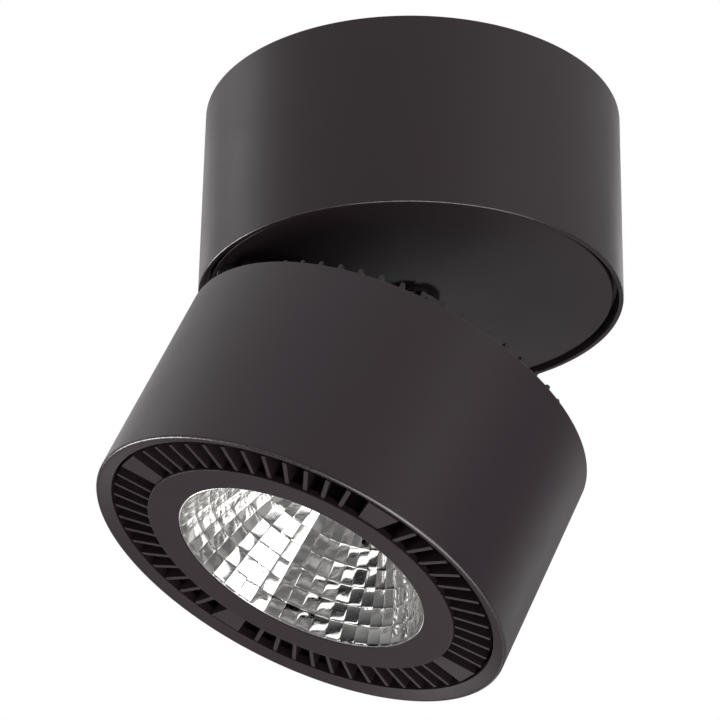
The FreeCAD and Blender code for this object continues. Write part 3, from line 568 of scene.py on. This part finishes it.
def copied_round(name, shape, material, **values):
    """A shape's copies round the axis, as one plain shape."""
    piece = as_object(name, shape)
    modifier = piece.modifiers.new("copies", "NODES")
    modifier.node_group = copies_round_axis
    sockets = {item.name: item.identifier for item in copies_round_axis.interface.items_tree
               if item.in_out == "INPUT"}
    for label, value in values.items():
        modifier[sockets[label.replace("_", " ")]] = value
    modifier[sockets["Finish"]] = material
    return built_shape(piece)


# The can and the disc


def make_canopy():
    """The can's wall with its soft lower lip and the ledge inside."""
    inner = body_radius - canopy_wall
    ledge_inner = inner - ledge_width
    ledge_top = floor_high + ledge_height
    wall = turned([(body_radius, 0, canopy_inner_round), (body_radius, lip_z, canopy_lip_round),
                   (inner, lip_z, canopy_inner_round), (inner, floor_high, 0), (ledge_inner, floor_high, 0),
                   (ledge_inner, ledge_top, 0), (inner, ledge_top, 0), (inner, 0, canopy_inner_round)])
    piece = as_object("canopy_wall", wall)
    shade(piece)
    stands_for(piece, "canopy", powder_coat, "dark_coat", "canopy_shell")
    # Painted highlight along the lip's rounded edge
    paint_edge_highlight(piece, Matrix(), body_radius - canopy_lip_round)


def make_disc():
    """The disc in the can's underside."""
    disc = turned([(disc_radius, disc_high, canopy_inner_round), (disc_radius, disc_low, disc_round),
                   (disc_bore, disc_low, 0), (disc_bore, disc_high, 0)])
    piece = as_object("disc", disc)
    shade(piece)
    stands_for(piece, "swivel", powder_coat, "dark_coat", "swivel_disc")


# The head


def make_head_shell():
    """The head's tube: soft edges, the sloping rim, the hinge boss and the screw tab."""
    rim_back = front_z + rim_slope + rim_land
    tube = turned([(body_radius, 0, back_round), (body_radius, front_z, front_round),
                   (lip_radius, front_z + rim_slope, rim_round), (lip_radius, rim_back, 0),
                   (shell_inner, rim_back + shell_inner - lip_radius, 0), (shell_inner, 0, back_round)])
    middle = shell_inner + head_wall / 2
    boss_root = -middle * math.cos(math.asin(boss_half / middle))
    boss_tip = boss_length - shell_inner
    boss = extruded([(boss_root, -boss_half), (boss_tip, -boss_half), (boss_tip, boss_half),
                     (boss_root, boss_half), (-middle, 0)], -boss_depth, 0)
    tab = box_shape(shell_inner - tab_reach, middle, -tab_half, tab_half, -tab_thickness, 0)
    turn_shape(tab, web_turn, "Z")
    shell = joined([tube, with_soft_edges(boss, rim_round), with_soft_edges(tab, rim_round)])
    shell.transform(head_place)
    piece = as_object("head_tube", shell)
    shade(piece)
    stands_for(piece, "head", head_coat, "head_coat", "head_shell")
    # Painted highlight along the front's rounded edge
    paint_edge_highlight(piece, head_place, body_radius - front_round)


def fin_shape():
    """One fin along +X: full length outside the core, shallow across the plate's back."""
    outline = [(hub_middle, plate_middle), (core_middle, plate_middle), (core_middle, seat_z),
               (blade_inner, seat_z), (blade_inner, fin_front), (fin_radius, fin_front),
               (fin_radius, fin_proud), (hub_middle, fin_proud)]
    fin = extruded(outline, -fin_thickness / 2, fin_thickness / 2)
    turn_shape(fin, math.pi / 2, "X")
    return with_soft_edges(fin, fin_edge_round)


def web_shape():
    """One wide web along +X, widening outwards, with the pad that meets the shell's wall."""
    taper = (web_outer_width - web_inner_width) / (2 * (fin_radius - bezel_radius))

    def half(radius):
        return web_inner_width / 2 + taper * (radius - bezel_radius)

    def wedge(inner, outer, low, high):
        corners = [(inner, -half(inner)), (outer, -half(outer)), (outer, half(outer)), (inner, half(inner))]
        return extruded(corners, low, high)

    pad_radius = shell_inner - web_pad_play
    outer_part = wedge(blade_inner, fin_radius, fin_front, fin_proud)
    inner_part = wedge(core_middle, fin_radius - shadow_gap, seat_z, fin_proud - fin_edge_round)
    pad = wedge(fin_radius - shadow_gap, pad_radius, front_z + web_pad_front, -web_pad_back)
    rear = box_shape(hub_middle, core_middle + core_wall, -half(core_middle), half(core_middle), plate_middle,
                     fin_proud - fin_edge_round / 2)
    return joined([with_soft_edges(outer_part, fin_edge_round), inner_part,
                   with_soft_edges(pad, fin_edge_round), with_soft_edges(rear, fin_edge_round)])


def carved(shape, cutters):
    """A shape less some cutters."""
    piece = as_object("uncut", shape)
    tool = as_object("cutters", joined(cutters))
    cut = piece.modifiers.new("cut", "BOOLEAN")
    cut.operation = "DIFFERENCE"
    cut.solver = "EXACT"
    cut.use_self = True
    cut.object = tool
    return built_shape(piece, tool)


def make_heat_sink():
    """The casting: the cup round the mirror, its plate, the hub, the posts, the hinge pad and all blades."""
    first_fin = (math.pi / 2 - fin_pitch * (fins_per_quarter - 1)) / 2
    fins = copied_round("fins", fin_shape(), sink_coat, Sectors=quarters, Per_sector=fins_per_quarter,
                        Start=math.pi + web_turn + first_fin, Pitch=fin_pitch)
    webs = copied_round("webs", web_shape(), sink_coat, Sectors=quarters, Per_sector=1,
                        Start=math.pi + web_turn, Pitch=0.0)
    tab_pocket = box_shape(shell_inner - tab_reach - tab_play, body_radius, -web_outer_width, web_outer_width,
                           -tab_thickness, fin_proud + cut_overrun)
    turn_shape(tab_pocket, web_turn, "Z")
    bay = box_shape(-body_radius, -pad_inner, -bay_half, bay_half, 0, fin_proud + cut_overrun)
    pocket_half = boss_half + pocket_play
    boss_pocket = box_shape(-body_radius - cut_overrun, -pad_outer, -pocket_half, pocket_half,
                            -boss_depth - pocket_play, fin_proud + 2 * cut_overrun)
    blades = carved(joined([fins, webs]), [bay, boss_pocket, tab_pocket])
    cup = turned([(0, plate_back, 0), (core_outer, plate_back, 0), (core_outer, seat_z, 0),
                  (core_inner, seat_z, 0), (core_inner, plate_front, 0), (0, plate_front, 0)])
    root = plate_back - root_depth
    hub = turned([(hub_radius, root, 0), (hub_radius, hub_height, rim_round),
                  (hub_radius - hub_wall, hub_height, rim_round), (hub_radius - hub_wall, root, 0)])
    pad = with_soft_edges(box_shape(-pad_outer, -pad_inner, -pad_half, pad_half, root, 0), rim_round)
    posts = []
    for side in (-1, 1):
        post = turned([(0, root, 0), (post_radius, root, 0),
                       (post_radius, hub_height, 0), (0, hub_height, 0)])
        bmesh.ops.translate(post, vec=(side * post_reach, 0, 0), verts=post.verts)
        posts.append(post)
    casting = joined([blades, cup, hub, pad] + posts)
    casting.transform(head_place)
    piece = as_object("finned_casting", casting)
    shade(piece)
    stands_for(piece, "head", sink_coat, "sink_coat", "heat_sink")


def make_bezel():
    """The coned ring round the mouth, with its skirt in the cup."""
    skirt_inner = skirt_outer - skirt_wall
    skirt_back = seat_z + skirt_length
    ring = turned([(bezel_radius, bezel_front, bezel_outer_round), (bezel_radius, seat_z, 0),
                   (skirt_outer, seat_z, 0), (skirt_outer, skirt_back, 0), (skirt_inner, skirt_back, 0),
                   (skirt_inner, flange_z, 0), (mouth_radius, flange_z, 0),
                   (mouth_radius, flange_z - bezel_lip, bezel_mouth_round)])
    ring.transform(head_place)
    piece = as_object("bezel", ring)
    shade(piece)
    stands_for(piece, "head", bezel_coat, "bezel_coat", "bezel_ring")


def mirror_ring(fall):
    """Radius and height of the mirror at a share of its way from the mouth to the neck."""
    radius = math.sqrt(mirror_radius ** 2 + (mirror_neck ** 2 - mirror_radius ** 2) * fall)
    return radius, flange_z + (holder_front - flange_z) * fall


def pillow(share):
    """Height of a pillow at a share of its width: a low crown whose last part rolls off at the edges."""
    away = abs(2 * share - 1)
    return (1 - crown_edge) * (1 - away ** 2) + crown_edge * (1 - away ** crown_power)


def mirror_column():
    """One column of crowned facets from mouth to neck, with its share of the beaded rim and the flange."""
    half_turn = math.pi / facet_columns
    turns = [half_turn * (2 * u - 1) for u in facet_shares]

    def arc(radius, height):
        return [(radius * math.cos(turn), radius * math.sin(turn), height) for turn in turns]

    flange = [(flange_radius, flange_z), (mouth_radius - bead_play, flange_z)]
    lines = [arc(radius, height) for radius, height in flange + mirror_bead()]
    for row in range(facet_rows):
        near_radius, near_height = mirror_ring(row / facet_rows)
        far_radius, far_height = mirror_ring((row + 1) / facet_rows)
        inward = Vector((near_height - far_height, near_radius - far_radius)).normalized()
        for v in facet_shares if row == 0 else facet_shares[1:]:
            radius = near_radius + (far_radius - near_radius) * v
            height = near_height + (far_height - near_height) * v
            line = []
            for u in facet_shares:
                crown = flute_bulge * radius / mirror_radius * pillow(u) + facet_bulge * pillow(v)
                line.append((radius * math.cos(half_turn) + crown * inward.x,
                             radius * math.sin(half_turn) * (2 * u - 1), height + crown * inward.y))
            lines.append(line)
    lines.append(arc(mirror_neck + mirror_wall, holder_front))
    shape = bmesh.new()
    grid = [[shape.verts.new(point) for point in line] for line in lines]
    for line, after in zip(grid, grid[1:]):
        for step in range(len(facet_shares) - 1):
            shape.faces.new((line[step], line[step + 1], after[step + 1], after[step]))
    return shape


def mirror_bead():
    """Radius and height of the points of the bead round the mirror's mouth, between its two feet."""
    half = (mouth_radius - bead_play - mirror_radius) / 2
    turns = [math.pi * step / bead_steps for step in range(1, bead_steps)]
    return [(mirror_radius + half + half * math.cos(turn), flange_z - bead_height * math.sin(turn))
            for turn in turns]


def make_mirror():
    """The faceted mirror, slightly uneven as spun metal is, with its rolled rim, flange and plain back."""
    facets = copied_round("facets", mirror_column(), mirror_film, Sectors=facet_columns, Per_sector=1,
                          Start=math.pi / facet_columns, Pitch=0.0)
    for vertex in facets.verts:
        if vertex.co.xy.length < mirror_radius - still_rim:
            wave = noise_field.noise(vertex.co / wave_length) * mirror_waves
            vertex.co -= wave * Vector((vertex.co.x, vertex.co.y, 0)).normalized()
    outline = [(flange_radius, flange_z, 0), (flange_radius, flange_z + mirror_flange, 0),
               (mirror_radius + mirror_wall, flange_z + mirror_flange, 0)]
    for row in range(1, facet_rows + 1):
        radius, height = mirror_ring(row / facet_rows)
        outline.append((radius + mirror_wall, height, 0))
    whole = joined([facets, turned(outline, closed=False)])
    bmesh.ops.remove_doubles(whole, verts=whole.verts, dist=weld_reach)
    bmesh.ops.recalc_face_normals(whole, faces=whole.faces)
    whole.transform(head_place @ Matrix.Rotation(mirror_turn, 4, "Z"))
    piece = as_object("mirror", whole)
    piece.data.shade_smooth()
    piece.data.set_sharp_from_angle(angle=facet_turn)
    stands_for(piece, "head", mirror_film, "mirror_film", "reflector")
    back = head_place.inverted()
    dress_faces(piece, rolled_rim, lambda face: (back @ face.center).xy.length > mirror_radius)


def make_leads():
    """The two leads behind the plate, in one smooth bend each."""
    low, high = closed_box("led_leads")
    curve = bpy.data.curves.new("leads", "CURVE")
    curve.dimensions = "3D"
    curve.bevel_depth = lead_radius
    curve.bevel_resolution = lead_steps
    curve.use_fill_caps = True
    level = high.z - lead_radius
    side = high.y - lead_radius
    for x in (low.x + lead_radius, high.x - lead_radius):
        route = [(x, side, low.z), (x, side, level - lead_bend), (x, side, level),
                 (x, side - lead_bend, level), (x, low.y, level)]
        spline = curve.splines.new("NURBS")
        spline.points.add(len(route) - 1)
        for point, place in zip(spline.points, route):
            point.co = (*(untilt.inverted() @ Vector(place)), 1)
        spline.order_u = 3
        spline.use_endpoint_u = True
    routes = bpy.data.objects.new("lead curve", curve)
    bpy.context.scene.collection.objects.link(routes)
    piece = as_object("inner_leads", built_shape(routes))
    shade(piece)
    stands_for(piece, "head", lead_jacket, "lead_jacket", "led_leads")


# Parts of the frame that keep their form and get soft edges

bodies = frame["record"]["behaviour"]["bodies"]
body_of_node = {node: body for body, nodes in bodies.items() for node in nodes}
slot_of_node = {part["node"]: part["material_slot"] for part in frame["record"]["subparts"]}
soft_edge_widths = {
    "ceiling_bracket": 0.25 * mm, "canopy_floor": 0.25 * mm, "driver_case": 0.6 * mm,
    "driver_cover": 0.6 * mm, "terminal_block": 0.4 * mm, "cable_clamp": 0.3 * mm,
    "hinge_bracket": 0.35 * mm, "hinge_lug": 0.35 * mm, "rear_cover": 0.3 * mm,
    "pivot_tube": 0.25 * mm, "lock_nut": 0.3 * mm, "cob_holder": 0.3 * mm}


def make_soft_edged(node, width):
    """The same form as a node of the frame, merged to one skin, with its sharp edges rounded."""
    shape = bmesh.new()
    shape.from_mesh(frame["nodes"][node].data)
    bmesh.ops.remove_doubles(shape, verts=shape.verts, dist=same_place)
    bmesh.ops.dissolve_limit(shape, angle_limit=flat_turn, verts=shape.verts, edges=shape.edges)
    piece = as_object("soft_" + node, shape)
    rounding = piece.modifiers.new("soft edges", "BEVEL")
    rounding.width = width
    rounding.segments = edge_steps
    rounding.limit_method = "ANGLE"
    rounding.angle_limit = soft_turn
    shade(piece)
    slot = slot_of_node[node]
    stands_for(piece, body_of_node[node], finish_by_slot[slot], slot, node)


def paint_floor_below():
    """The can's floor is sprayed with the can, so its underside is dark in the gap round the disc."""
    floor = bpy.data.objects["soft_canopy_floor"]
    dress_faces(floor, powder_coat, lambda face: face.center.z < floor_high - floor_skin)


make_canopy()
make_disc()
make_head_shell()
make_heat_sink()
make_bezel()
make_mirror()
make_leads()
for node_name, edge_width in soft_edge_widths.items():
    make_soft_edged(node_name, edge_width)
paint_floor_below()


# The studio

# The camera
look_at = Vector((-0.01551, 0.00420, -0.08708))
view_azimuth = math.radians(-16.2244)
view_elevation = math.radians(-26.6264)
view_distance = 0.95602
view_roll = math.radians(1.079)
lens = 147.2
sensor_width = 36.0
nearest_seen = 0.01
farthest_seen = 50.0

# The floor: the eye sees its plain glow, a mirror its patches
floor_z = -1.6
floor_half = 6.0
floor_thickness = 1.0 * mm
floor_grey = 0.16
floor_roughness = 0.9
floor_specular = 0.2
floor_glow_seen = 0.9
patch_scale = 2.6
patch_glow = 0.5
patch_contrast = 4.0
patch_tint = (1.0, 0.965, 0.95, 1)

# The room: its strength as light, how white its right side is, and where its white starts and is full
room_light = 0.9
room_right = 0.17
room_edge = -0.1
room_full = 0.95

# The lamps: each one's name, turn and height in degrees, width and depth in metres, and power in watts
lamp_distance = 1.2
softboxes = (
    ("low front softbox", -66, -44, 0.95, 0.42, 1.85),
    ("upper front strip", -70, -31, 0.42, 0.10, 0.25),
    ("middle front strip", -50, -33, 0.16, 0.16, 0.15),
    ("front softbox", -60, 0, 0.6, 0.6, 1.5),
    ("left strip", -152, -10, 1.4, 0.10, 0.65),
    ("low softbox", -115, -66, 0.7, 0.7, 2.8),
    ("floor softbox", 0, -86, 0.8, 0.8, 2.6),
    ("low rear softbox", 150, -25, 0.4, 0.4, 2.9),
    ("high rear softbox", 150, 30, 0.4, 0.4, 1.4),
    ("right rear softbox", 30, 0, 0.4, 0.4, 0.6),
    ("right strip", 24, -27, 0.35, 0.25, 0.15),
    ("rear softbox", 80, -28, 0.4, 0.3, 0.65),
    ("rim softbox", 133, -20, 0.3, 0.3, 2.4),
    ("left edge softbox", 108, 26, 0.25, 0.25, 0.55),
    ("right edge softbox", 45, 26, 0.2, 0.2, 0.5))


def make_camera():
    """The camera below the light, at the photograph's angle."""
    data = bpy.data.cameras.new("camera")
    data.lens = lens
    data.sensor_width = sensor_width
    data.clip_start = nearest_seen
    data.clip_end = farthest_seen
    camera = bpy.data.objects.new("camera", data)
    level = math.cos(view_elevation)
    away = Vector((math.sin(view_azimuth) * level, -math.cos(view_azimuth) * level, math.sin(view_elevation)))
    camera.location = Vector((0, 0, lip_z)) + away * view_distance
    aim = (look_at - camera.location).to_track_quat("-Z", "Y")
    camera.rotation_mode = "QUATERNION"
    camera.rotation_quaternion = aim @ Quaternion((0, 0, 1), view_roll)
    bpy.context.scene.collection.objects.link(camera)
    bpy.context.scene.camera = camera


def softbox(name, turn, height, width, depth, power):
    """A soft lamp at a turn from +X and a height, in degrees. It faces the light and shows in reflections."""
    data = bpy.data.lights.new(name, "AREA")
    data.shape = "RECTANGLE"
    data.size, data.size_y = width, depth
    data.energy = power
    across, up = math.radians(turn), math.radians(height)
    away = Vector((math.cos(across) * math.cos(up), math.sin(across) * math.cos(up), math.sin(up)))
    lamp = bpy.data.objects.new(name, data)
    lamp.location = look_at + away * lamp_distance
    lamp.rotation_mode = "QUATERNION"
    lamp.rotation_quaternion = away.to_track_quat("Z", "Y")
    lamp.visible_camera = False
    bpy.context.scene.collection.objects.link(lamp)


def make_floor():
    """A pale floor well below the light. The mirror sees it as faint patches, as it would a room."""
    slab = box_shape(-floor_half, floor_half, -floor_half, floor_half, floor_z - floor_thickness, floor_z)
    floor = as_object("floor", slab)
    material = bpy.data.materials.new("pale floor")
    material.use_nodes = True
    tree = material.node_tree
    shader = tree.nodes["Principled BSDF"]
    shader.inputs["Base Color"].default_value = (floor_grey, floor_grey, floor_grey, 1)
    shader.inputs["Roughness"].default_value = floor_roughness
    shader.inputs["Specular IOR Level"].default_value = floor_specular
    where = add(tree, "ShaderNodeTexCoord").outputs["Object"]
    patches = add(tree, "ShaderNodeTexVoronoi", {"distance": "CHEBYCHEV"}, Vector=where, Scale=patch_scale)
    patch = add(tree, "ShaderNodeSeparateXYZ", Vector=patches.outputs["Color"]).outputs["X"]
    lit = math_node(tree, "MULTIPLY", math_node(tree, "POWER", patch, patch_contrast), patch_glow)
    path = tree.nodes.new("ShaderNodeLightPath")
    mirrored = math_node(tree, "MULTIPLY", path.outputs["Is Glossy Ray"], lit)
    seen = math_node(tree, "MULTIPLY", path.outputs["Is Camera Ray"], floor_glow_seen)
    colour = add(tree, "ShaderNodeMixRGB", Fac=path.outputs["Is Glossy Ray"], Color1=(1, 1, 1, 1),
                 Color2=patch_tint)
    tree.links.new(colour.outputs[0], shader.inputs["Emission Color"])
    tree.links.new(math_node(tree, "ADD", mirrored, seen), shader.inputs["Emission Strength"])
    floor.data.materials.append(material)


def make_world():
    """White to the eye and through glass. As light and in reflections, a room white above and dim below."""
    world = bpy.data.worlds.new("studio")
    bpy.context.scene.world = world
    world.use_nodes = True
    tree = world.node_tree
    tree.nodes.clear()
    path = tree.nodes.new("ShaderNodeLightPath")
    direction = add(tree, "ShaderNodeTexCoord").outputs["Generated"]
    axes = add(tree, "ShaderNodeSeparateXYZ", Vector=direction).outputs
    above, right = (add(tree, "ShaderNodeMapRange", {"interpolation_type": "SMOOTHSTEP"}, Value=axes[axis],
                        From_Min=room_edge, From_Max=room_full, To_Min=0.0, To_Max=most).outputs["Result"]
                    for axis, most in (("Z", 1.0), ("X", room_right)))
    room = math_node(tree, "MULTIPLY", math_node(tree, "ADD", above, right),
                     math_node(tree, "MAXIMUM", path.outputs["Is Glossy Ray"], room_light))
    seen = math_node(tree, "MAXIMUM", path.outputs["Is Camera Ray"], path.outputs["Is Transmission Ray"])
    strength = math_node(tree, "MAXIMUM", seen, room)
    background = add(tree, "ShaderNodeBackground", Color=(1, 1, 1, 1), Strength=strength)
    output = tree.nodes.new("ShaderNodeOutputWorld")
    tree.links.new(background.outputs[0], output.inputs["Surface"])


make_camera()
for lamp in softboxes:
    softbox(*lamp)
make_floor()
make_world()
bpy.context.scene.view_settings.view_transform = "Standard"
